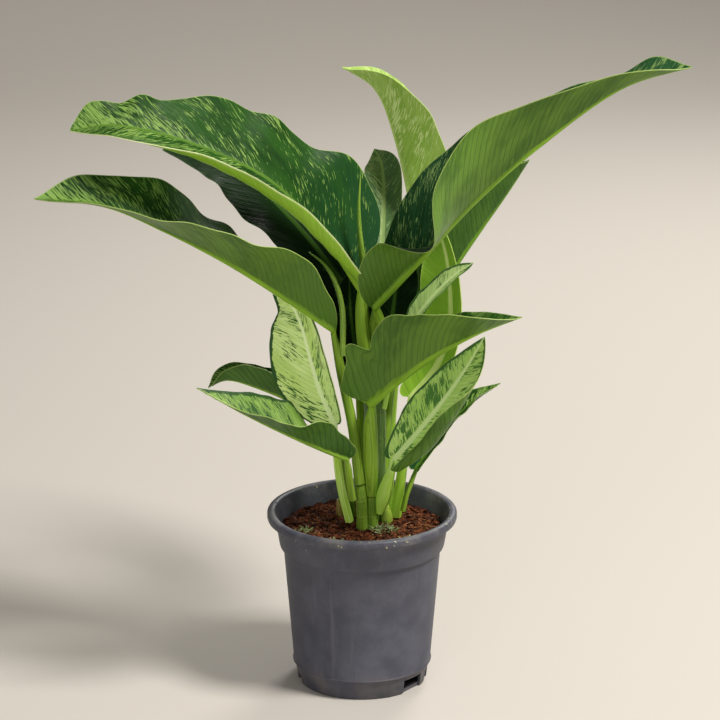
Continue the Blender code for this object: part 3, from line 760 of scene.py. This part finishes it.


# ---------------------------------------------------------------- upright right leaf
# A bright, smooth young leaf standing on the right with a pale stripe for a midrib.
# Its left half faces the front and its right half is folded back.
# Its glow is painted light shining through the young leaf.
smooth_bright = leaf_skin(
    "smooth young leaf", (132, 174, 46), (118, 162, 40), (146, 184, 62), (204, 220, 132), (182, 208, 100),
    vein_share=0.15, streak=(190, 212, 110), streak_from=0.8, patchiness=0.3, painted_glow=0.22)
grow("upright_right_leaf", "leaf_right_upright", "leaf_bright", [smooth_bright, smooth_bright], 155.0,
     stalk=[(21.5, 17, 102.2), (25, 16, 130), (28, 15, 155), (31, 14, 182)], stalk_radius=(3.6, 2.4),
     rib=[(31, 14, 182), (47, 18, 202), (55, 21, 226), (55, 24, 254), (51, 27, 279), (41, 29, 304)],
     face=((-0.2, -1, 0.1), (-0.2, -1, 0.1)),
     left=dict(width=(8, 16, 19, 18, 11, 0), fold=(12, 12), ripple=(3, 1, 0.25)),
     right=dict(width=(8, 16, 19, 18, 11, 0), fold=(65, 65), ripple=(3, 1, 0)))


# ---------------------------------------------------------------- back crown leaf
# A narrow grey-green leaf at the very back of the crown, its tip hooked to the left.
# One loft, hardly folded, with pale variegation thickening towards the tip.
grey_green = leaf_skin(
    "grey-green leaf", (82, 116, 66), (96, 130, 78), (70, 104, 56), (150, 176, 104), (140, 164, 100),
    vein_share=0.3, streak=(158, 182, 120), streak_from=0.58, tip_gain=0.06, patchiness=0.5)
grow("back_crown_leaf", "leaf_back_crown", "leaf_pale", [grey_green, green_under], 193.0,
     stalk=[(8, 24, 102), (8, 34, 150), (11, 46, 195), (15, 62, 232)], stalk_radius=(3.0, 2.0),
     rib=[(15, 62, 232), (13, 84, 259), (14, 100, 285), (13, 112, 307), (8, 118, 318)],
     face=((0, -1, 0.35), (0, -1, 0.35)),
     left=dict(width=(4, 7, 12, 11, 0), fold=(15, 15), ripple=(3, 1, 0.25)),
     right=dict(width=(4, 9, 12, 11, 0), fold=(15, 15), ripple=(3, 1, 0)))


# ---------------------------------------------------------------- upper right leaf
# The long leaf reaching up to the right, seen from below: a thick bright keel between two green halves.
# One loft; its near half stays low at the base, where the far half shows its speckled upper side.
blocky = leaf_skin(
    "right leaf, upper side", (28, 66, 34), (40, 82, 46), (50, 94, 50), (104, 144, 60), (150, 176, 104),
    vein_share=0.2, streak=(130, 160, 92), streak_from=0.6, rib_gain=0.04, patchiness=0.6, gloss=0.14)
grow("upper_right_leaf", "leaf_upper_right", "leaf_dark", [blocky, green_under], 231.0,
     stalk=[(10.2, 3, 214), (10.4, 1.5, 226), (9.4, -3.5, 238), (7, -10, 250)],
     stalk_radius=(5.6, 5.6, 5, 3.2),
     rib=[(7, -10, 250), (34, -19, 282), (66, -30, 321), (106, -40, 360), (153, -50, 397), (195, -58, 412)],
     face=((-0.7, 0, 0.7), (-0.45, 0, 0.9)),
     left=dict(width=(16, 30, 38, 43, 44, 36, 25, 19, 14, 10, 0), fold=(30, 42, 45, 50, 42, 25), lobe=0,
               ripple=(3, 1.5, 0.45), edge_rise=(0, 0, 0, 0, 0, 0, -2, 0, -5, 3, 0)),
     right=dict(width=(16, 30, 36, 40, 46, 42, 28, 18, 12, 8, 0), lobe=0, ripple=(3, 1.5, 0.2),
                fold=(50, 64, 58, 6, 38, 65, 75, 70, 60, 45, 30)))


# ---------------------------------------------------------------- right leaf behind
# A leaf behind the crown on the right, in half shade, with its underside to the front.
# One loft with both halves folded up steeply, so that it is narrow and keeled.
dim_under = leaf_skin(
    "shaded leaf, under side", (56, 92, 26), (70, 108, 34), (38, 70, 20), (116, 160, 40), (104, 136, 56),
    vein_share=0.3)
grow("right_leaf_behind", "leaf_right_behind", "leaf_dark", [speckled, dim_under], 269.0,
     stalk=[(14, 15, 101.6), (15, 19, 145), (19, 27, 188), (32, 34, 221)], stalk_radius=(3.2, 2.2),
     rib=[(32, 34, 221), (56, 42, 257), (76, 46, 286), (91, 48, 307), (105, 50, 328)],
     face=((-0.8, 0, 0.6), (-0.8, 0, 0.6)),
     left=dict(width=(12, 25, 27, 20, 0), fold=(60, 60), ripple=(3, 2, 0.25)),
     right=dict(width=(12, 25, 27, 20, 0), fold=(80, 80), ripple=(3, 2, 0)))


# ---------------------------------------------------------------- front right leaf
# The leaf in front on the right: a broad stalk, a blunt lobe hooking left at its base, and a near half
# folded up over the crown, its underside blistered between curved veins.
grow("front_right_leaf", "leaf_front_right", "leaf_dark", [speckled, green_under], 307.0,
     stalk=[(6, -4, 124.5), (5.5, -8, 148), (5, -13, 171), (5, -18, 190)], stalk_radius=(3.8, 4.8, 4.6, 3.4),
     rib=[(5, -18, 190), (23, -26, 208), (45, -36, 227), (70, -46, 244), (97, -52, 256)],
     face=((-0.4, 0, 0.9), (-0.2, 0, 1)),
     left=dict(width=(19, 30, 27, 16, 0), fold=(55, 50, 32, 32, 30), lobe=0.12, ripple=(3, 1.5, 0.25)),
     right=dict(width=(19, 33, 34, 20, 0), fold=(85, 85, 80, 52, 30), lobe=0.12, ripple=(3, 1.5, 0),
                edge_rise=(0, 0, 1, 6, 5, -4, -2, 0, 1, 1, 1, 0, 0, 0, 0, 0, 0, 0, 0, 0, 0)))


# ---------------------------------------------------------------- small right leaf
# A small pale leaf pointing up to the right between the two right-hand ones, edged with dark green.
# One loft on a thin stalk, with both halves folded forward.
# Its glow is painted light on the small leaf.
pale_green = leaf_skin(
    "small pale leaf", (182, 206, 130), (164, 192, 112), (120, 156, 84), (192, 210, 146), (84, 120, 58),
    vein_share=0.35, streak=(50, 88, 36), streak_from=0.6, patchiness=0.6,
    border=(50, 88, 36), border_width=1.0, painted_glow=0.22)
grow("small_right_leaf", "leaf_small_right", "leaf_pale", [pale_green, pale_green], 345.0,
     stalk=[(13.8, 1, 180), (17, 0, 195), (22, 1, 210), (26, 2, 224)], stalk_radius=(1.6, 1.2),
     rib=[(26, 2, 224), (36, 0, 243), (48, 0, 258), (59, 2, 268), (69, 4, 274)],
     face=((-0.5, -0.8, 0.3), (-0.5, -0.8, 0.3)),
     left=dict(width=(4, 8, 8, 5, 0), fold=(50, 50), ripple=(3, 1, 0.25)),
     right=dict(width=(4, 8, 8, 5, 0), fold=(60, 60), ripple=(3, 1, 0)))


# ---------------------------------------------------------------- variegated left leaf
# A pale leaf facing the front, left of the stems: nearly white midrib, thin dark dashes along the veins
# and a ragged dark green border. Its right half is folded back.
# Its glow is painted light, lifting the leaf where little light reaches it below the others.
variegated = leaf_skin(
    "variegated leaf, upper side",
    (212, 230, 150), (188, 214, 118), (160, 194, 96), (222, 234, 180), (40, 76, 30),
    vein_share=0.45, vein_gap=3.2, streak=(56, 98, 42), streak_from=0.585, patchiness=0.7,
    border=(40, 78, 30), border_width=1.8, painted_glow=0.26)
grow("variegated_left_leaf", "leaf_variegated_left", "leaf_pale", [variegated, green_under], 383.0,
     stalk=[(-8, 8, 102.3), (-13, 3, 126), (-16, -2, 150), (-17, -7, 172)], stalk_radius=(2.8, 2.6, 1.5),
     rib=[(-17, -7, 172), (-26, -6, 193), (-32, -3, 213), (-38, 3, 234), (-45, 9, 246), (-56, 15, 251)],
     face=((-0.2, -1, 0.3), (-0.2, -1, 0.3)), side_veins=10,
     left=dict(width=(7, 22, 25, 19, 10, 0), fold=(10, 10), lobe=0.02, ripple=(3, 1, 0.25)),
     right=dict(width=(7, 22, 25, 19, 10, 0), fold=(60, 60), lobe=0.02, ripple=(3, 1, 0)))


# ---------------------------------------------------------------- lower left leaf
# The lowest leaf on the left: pale and variegated above, its near half folded up to show a dark,
# curved-veined underside. One loft, drawn out to a fine tip.
dark_under = leaf_skin(
    "lower leaf, under side", (64, 104, 34), (84, 126, 46), (40, 74, 24), (146, 188, 58), (150, 176, 92),
    vein_share=0.5, streak=(130, 164, 70), streak_from=0.72, patchiness=0.4)
blotched = leaf_skin(
    "blotched leaf, upper side",
    (142, 174, 86), (124, 160, 72), (100, 138, 58), (184, 202, 130), (48, 84, 34),
    vein_share=0.4, streak=(48, 88, 34), streak_from=0.57, patchiness=0.9,
    border=(42, 80, 30), border_width=2.0)
grow("lower_left_leaf", "leaf_lower_left", "leaf_pale", [blotched, dark_under], 421.0,
     stalk=[(-6, -12, 124), (-7.5, -15, 135), (-8.5, -19, 146), (-9, -22, 155)], stalk_radius=(2.4, 2.2),
     rib=[(-9, -22, 155), (-29, -30, 166), (-51, -38, 179), (-75, -46, 194), (-101, -52, 211)],
     face=((0.4, 0, 0.9), (0.2, 0, 1)),
     left=dict(width=(8, 21, 23, 12, 0), fold=(75, 70, 35, 20, 10), ripple=(3, 1.5, 0.25)),
     right=dict(width=(8, 21, 23, 12, 0), fold=(10, 15, 40, 45, 40), ripple=(3, 1.5, 0)))


# ---------------------------------------------------------------- lower left leaf behind
# A narrow dark leaf behind the lowest one, standing on edge, its tip hooked down.
# One loft whose far half is folded up steeply.
grow("lower_left_leaf_behind", "leaf_lower_left_back", "leaf_dark", [speckled, dark_under], 459.0,
     stalk=[(-6, 16, 101.4), (-9, 14, 126), (-14, 12, 150), (-19, 10, 168)], stalk_radius=(2.4, 1.8),
     rib=[(-19, 10, 168), (-39, 14, 178), (-63, 16, 188), (-84, 16, 194), (-97, 12, 190)],
     face=((0.4, 0, 0.9), (0, 0, 1)),
     left=dict(width=(5, 12, 16, 10, 0), fold=(80, 80, 80, 70, 60), ripple=(3, 1, 0.25)),
     right=dict(width=(5, 12, 16, 10, 0), fold=(50, 50), ripple=(3, 1, 0)))


# ---------------------------------------------------------------- lower right leaf
# A pale, mottled leaf facing the front on the right, on a broad winged stalk that clasps the stem.
# One loft; its near half is rolled forward and shows the green underside as a wide fold.
# Its glow is painted light on the pale upper side.
mottled = leaf_skin(
    "mottled leaf, upper side",
    (176, 206, 112), (156, 192, 92), (128, 168, 72), (196, 216, 146), (54, 92, 36),
    vein_share=0.4, vein_gap=3.4, streak=(70, 114, 46), streak_from=0.55, patchiness=0.9,
    border=(50, 90, 36), border_width=1.4, painted_glow=0.22)
grow("lower_right_leaf", "leaf_lower_right", "leaf_pale", [mottled, green_under], 497.0,
     stalk=[(11, -4, 112), (13.6, -6, 124), (17, -10, 138), (20, -14, 151)],
     stalk_radius=(2.2, 4.6, 3.4, 1.7),
     rib=[(20, -14, 151), (38, -24, 177), (54, -30, 201), (66, -33, 221), (75, -34, 238)],
     face=((-0.35, -0.85, 0.4), (-0.35, -0.85, 0.4)),
     left=dict(width=(6, 16, 15, 8, 0), fold=(30, 30, 30, 30, 25), ripple=(3, 1, 0.25)),
     right=dict(width=(16, 34, 31, 14, 0), fold=(20, 20, 26, 30, 25), curl=(200, 215, 150, 20, 0),
                ripple=(3, 1, 0)))


# ---------------------------------------------------------------- leaves inside the crown
# Three small leaves in the shade: one low on the right at the back and two between the stalks.
# Each is the same loft as the large ones, short and hardly folded.
grow("lower_right_leaf_behind", "leaf_lower_right_back", "leaf_dark", [speckled, dim_under], 535.0,
     stalk=[(26, 11, 108), (28, 10, 118), (31, 10, 127), (34, 10, 136)], stalk_radius=(1.8, 1.5),
     rib=[(34, 10, 136), (52, 22, 158), (70, 31, 174), (88, 34, 186)],
     face=((-0.4, -0.3, 0.9), (-0.2, 0, 1)),
     left=dict(width=(5, 11, 9, 0), fold=(30, 30), ripple=(3, 1, 0.25)),
     right=dict(width=(5, 11, 9, 0), fold=(30, 30), ripple=(3, 1, 0)))
grow("inner_right_leaf", "leaf_inner_right", "leaf_dark", [shaded, shaded], 573.0,
     stalk=[(11.8, 10.6, 190), (13.5, 12, 202), (15.5, 14, 213), (17, 15, 223)], stalk_radius=(1.7, 1.4),
     rib=[(17, 15, 223), (20, 18, 243), (22, 20, 262), (24, 22, 280)],
     face=((0, -1, 0.2), (0, -1, 0.2)),
     left=dict(width=(6, 13, 12, 0), fold=(15, 15), ripple=(3, 1, 0.25)),
     right=dict(width=(6, 13, 13, 0), fold=(15, 15), ripple=(3, 1, 0)))
grow("inner_left_leaf", "leaf_inner_left", "leaf_dark", [shaded, shaded], 611.0,
     stalk=[(0.2, 7.8, 186), (-1.2, 7.2, 195), (-2.4, 6.7, 203), (-3, 6.5, 211)], stalk_radius=(1.4, 1.2),
     rib=[(-3, 6.5, 211), (-6, 7.5, 230), (-7.5, 8, 250), (-8, 8, 268)],
     face=((0, -1, 0.2), (0, -1, 0.2)),
     left=dict(width=(11, 13, 10, 0), fold=(15, 15), lobe=0.25, ripple=(3, 1, 0.25)),
     right=dict(width=(5, 14, 16, 0), fold=(15, 15), ripple=(3, 1, 0)))


# ---------------------------------------------------------------- stems
# Three fleshy stems standing in the soil and carrying the leaf stalks: ringed where old leaves fell.
# Each is a round loft along its route with slight swellings at the rings and streaks along it.
NODE_REACH = 0.012  # share of a stem's length that one ring's swelling takes up


def stem_form(seed, route, radii, nodes=(), rows=60, groove=0.0):
    """A closed round loft; nodes are shares of its length where it swells, groove a fold up one side."""
    share = np.linspace(0, 1, rows)
    centre = through(route, share)
    ahead = unit(through(route, share + 0.02) - through(route, share - 0.02))
    sideways = unit(np.cross(ahead, (0.0, 1.0, 0.0)))
    front = np.cross(sideways, ahead)
    radius = through(radii, share)
    for node in nodes:
        swelling = 0.25 * np.exp(-(((share - node) / NODE_REACH) ** 2))
        neck = 0.12 * np.exp(-(((share - node - 0.02) / NODE_REACH) ** 2))
        radius = radius + swelling - neck
    turn = np.linspace(0, 2 * math.pi, 40, endpoint=False)
    shape = radius[:, None] * (1 - groove * np.exp(-(((turn - 0.6 * math.pi) / 0.35) ** 2)))
    points = centre[:, None] + (shape * np.cos(turn))[..., None] * sideways[:, None]
    points = points + (shape * np.sin(turn))[..., None] * front[:, None]
    length = np.linalg.norm(np.diff(centre, axis=0), axis=1).sum()
    along = length * share[:, None] + 0 * turn
    no_margin = FAR_FROM_MARGIN + 0 * along
    measures = [along, shape * turn, no_margin, 0 * along, share[:, None] + 0 * turn]
    return wrapped(points, np.stack(measures, axis=-1), seed)


def stem_skin(name, light, dark, streak, ring, ring_at=(), ring_width=0.8):
    """Smooth green stem: long streaks, and faint brown rings so many millimetres up from its foot."""
    material, tree, shader = new_material(name, 0.38, 0.4)
    read = tree.nodes.new("ShaderNodeAttribute")
    read.attribute_name = "leaf_place"
    place = read.outputs["Vector"]
    along = parts_of(tree, place)[0]
    streaks = cloud(tree, stretched(tree, place, (0.03, 1.3, 1)), 1, 3)
    patches = cloud(tree, stretched(tree, place, (0.09, 0.16, 1)), 1, 2)
    flecks = cloud(tree, stretched(tree, place, (0.5, 2.2, 1)), 1, 2)
    colour = mixed(tree, step(tree, streaks, 0.4, 0.62), rgb(*light), rgb(*dark))
    colour = mixed(tree, product(tree, step(tree, patches, 0.45, 0.65), 0.5), colour, rgb(*dark))
    colour = mixed(tree, product(tree, step(tree, flecks, 0.6, 0.7), 0.7), colour, rgb(*streak))
    for height in ring_at:
        off = maths(tree, "ABSOLUTE", maths(tree, "SUBTRACT", along, height))
        colour = mixed(tree, product(tree, step(tree, off, ring_width, 0.1), 0.22), colour, rgb(*ring))
    feed(tree, shader.inputs["Base Color"], colour)
    feed(tree, shader.inputs["Roughness"], maths(tree, "MULTIPLY_ADD", patches, 0.2, 0.3))
    bumped(tree, shader, maths(tree, "ADD", streaks, flecks), 0.25, 0.0005)
    return material


stem_green = stem_skin(
    "stem", (148, 184, 60), (100, 142, 38), (184, 204, 110), (96, 90, 40), ring_at=(22.0,), ring_width=0.6)
# A darker copy of the stem colours for the stem at the back: painted shade.
painted_shade_stem = stem_skin(
    "shaded stem", (98, 140, 42), (60, 96, 26), (128, 158, 66), (70, 62, 34), ring_at=(14.0, 33.0, 56.0))
piece_of("front_stem", stem_form(
    649.0, [(0, -5, 101.4), (0, -6, 112), (-0.5, -6.5, 122), (-1.5, -7.5, 132.5)],
    (3.7, 3.5, 3.6, 3.2), (0.3, 0.65), groove=0.08), [stem_green], "stem_front")
piece_of("centre_stem", stem_form(
    687.0, [(6.6, -3, 101.4), (6.4, -3.2, 112), (6, -3.6, 123.8)],
    (3.5, 3.5, 3.6), (0.4,)), [stem_green], "stem_centre")
piece_of("back_stem", stem_form(
    725.0, [(7, 8, 101.4), (8, 7, 140), (8, 6, 175), (7, 3, 212)],
    (6.2, 6.8, 6.8, 6.4), (0.13, 0.3, 0.51, 0.74)), [painted_shade_stem], "stem_back")


# ---------------------------------------------------------------- rolled leaves
# Two new leaves still rolled into spears: one rising from the crown, one hugging the mid left leaf.
# Each is a narrow loft drawn to a point, with the overlapping edge left as a fold along it.
spear = stem_skin("rolled leaf", (156, 190, 70), (112, 152, 48), (190, 212, 120), (120, 110, 60))
piece_of("rolled_leaf_in_centre", stem_form(
    763.0, [(1.2, -5.4, 265), (0.6, -6.2, 276), (-1, -7.5, 292), (-2, -8, 312), (-1, -8, 333)],
    (1.2, 2.1, 1.6, 1, 0.3), rows=80, groove=0.35), [spear], "rolled_leaf_centre")
piece_of("rolled_leaf_on_left", stem_form(
    801.0, [(-12, -21.5, 222), (-12, -24, 250), (-16, -23, 268), (-23, -22, 280), (-33, -20, 288)],
    (1.8, 1.8, 1.6, 1, 0.3), rows=80, groove=0.35), [spear], "rolled_leaf_left")


# ---------------------------------------------------------------- side shoot and old sheath
# The plump bud of a new shoot by the stems and the dry yellow stub of an old leaf's sheath.
# Both are short round lofts standing in the soil.
shoot_skin = stem_skin(
    "side shoot", (170, 196, 74), (128, 160, 52), (198, 212, 112), (150, 140, 70), ring_at=(5.0,))
sheath_skin = stem_skin(
    "old sheath", (186, 170, 84), (142, 122, 60), (206, 192, 120), (96, 70, 40), ring_at=(3.0, 9.5))
piece_of("side_shoot", stem_form(
    839.0, [(15.5, 4, 101.4), (15.6, 4, 106), (15, 3.6, 112), (14, 3, 116.5)],
    (3.4, 3.8, 2.8, 0.8), rows=30, groove=0.1), [shoot_skin], "side_shoot")
piece_of("old_sheath", stem_form(
    877.0, [(-14, 19, 101.4), (-14.4, 19, 107), (-15.4, 19, 113)],
    (2.6, 2.2, 0.8), rows=30, groove=0.3), [sheath_skin], "old_sheath")


# ---------------------------------------------------------------- floor, light and camera
# A plain pale floor curving up behind, lit by three soft boxes: the key from the upper right, a weak
# fill from the front and one from behind. Sizes here are in metres.
FLOOR_HALF_WIDTH = 4.0
FLOOR_HALF_LENGTH = 5.0
CURVE_START = 1.6  # how far behind the pot the floor starts to curve up
CURVE_RADIUS = 1.1


def studio_floor():
    """A grid bent up behind into a quarter turn and a plain wall."""
    form = bmesh.new()
    bmesh.ops.create_grid(form, x_segments=60, y_segments=120, size=1)
    for vert in form.verts:
        back = vert.co.y * FLOOR_HALF_LENGTH
        beyond = max(0.0, back - CURVE_START)
        turn = min(beyond / CURVE_RADIUS, math.pi / 2)
        straight = max(0.0, beyond - CURVE_RADIUS * math.pi / 2)
        y = min(back, CURVE_START) + CURVE_RADIUS * math.sin(turn)
        z = CURVE_RADIUS * (1 - math.cos(turn)) + straight
        vert.co = Vector((vert.co.x * FLOOR_HALF_WIDTH, y, z))
    mesh = bpy.data.meshes.new("floor")
    form.to_mesh(mesh)
    form.free()
    material, tree, shader = new_material("plain pale floor", 0.9, 0.2)
    shader.inputs["Base Color"].default_value = rgb(206, 200, 192)
    mesh.materials.append(material)
    mesh.shade_smooth()
    floor = bpy.data.objects.new("floor", mesh)
    bpy.context.scene.collection.objects.link(floor)


def softbox(name, place, target, size, power, colour):
    """A round lamp at a place, turned towards a target."""
    light = bpy.data.lights.new(name, "AREA")
    light.shape = "DISK"
    light.size = size
    light.energy = power
    light.color = colour
    lamp = bpy.data.objects.new(name, light)
    lamp.location = place
    lamp.rotation_euler = (Vector(target) - Vector(place)).to_track_quat("-Z", "Y").to_euler()
    bpy.context.scene.collection.objects.link(lamp)


studio_floor()
world = bpy.data.worlds.new("studio")
world.use_nodes = True
world.node_tree.nodes["Background"].inputs[0].default_value = (1.0, 0.98, 0.95, 1)
world.node_tree.nodes["Background"].inputs[1].default_value = 0.24
bpy.context.scene.world = world
bpy.context.scene.view_settings.view_transform = "Standard"
softbox("key softbox", (0.9, -0.5, 1.6), (0, 0, 0.25), 0.5, 34, (1.0, 0.97, 0.92))
softbox("fill softbox", (-0.6, -1.8, 0.6), (0, 0, 0.2), 1.0, 5.5, (1.0, 0.99, 0.96))
softbox("back softbox", (0.5, 1.3, 1.1), (0, 0, 0.3), 0.6, 12, (1.0, 0.98, 0.93))
# The camera stands 2.1 m from the middle of the plant and looks down at 17.7 degrees.
camera_data = bpy.data.cameras.new("camera")
camera_data.sensor_width = 36
camera_data.lens = 168.45
camera = bpy.data.objects.new("camera", camera_data)
camera.location = (-0.0013, -2.0006, 0.8505)
camera.rotation_euler = (math.radians(72.3), 0, 0)
bpy.context.scene.collection.objects.link(camera)
bpy.context.scene.camera = camera
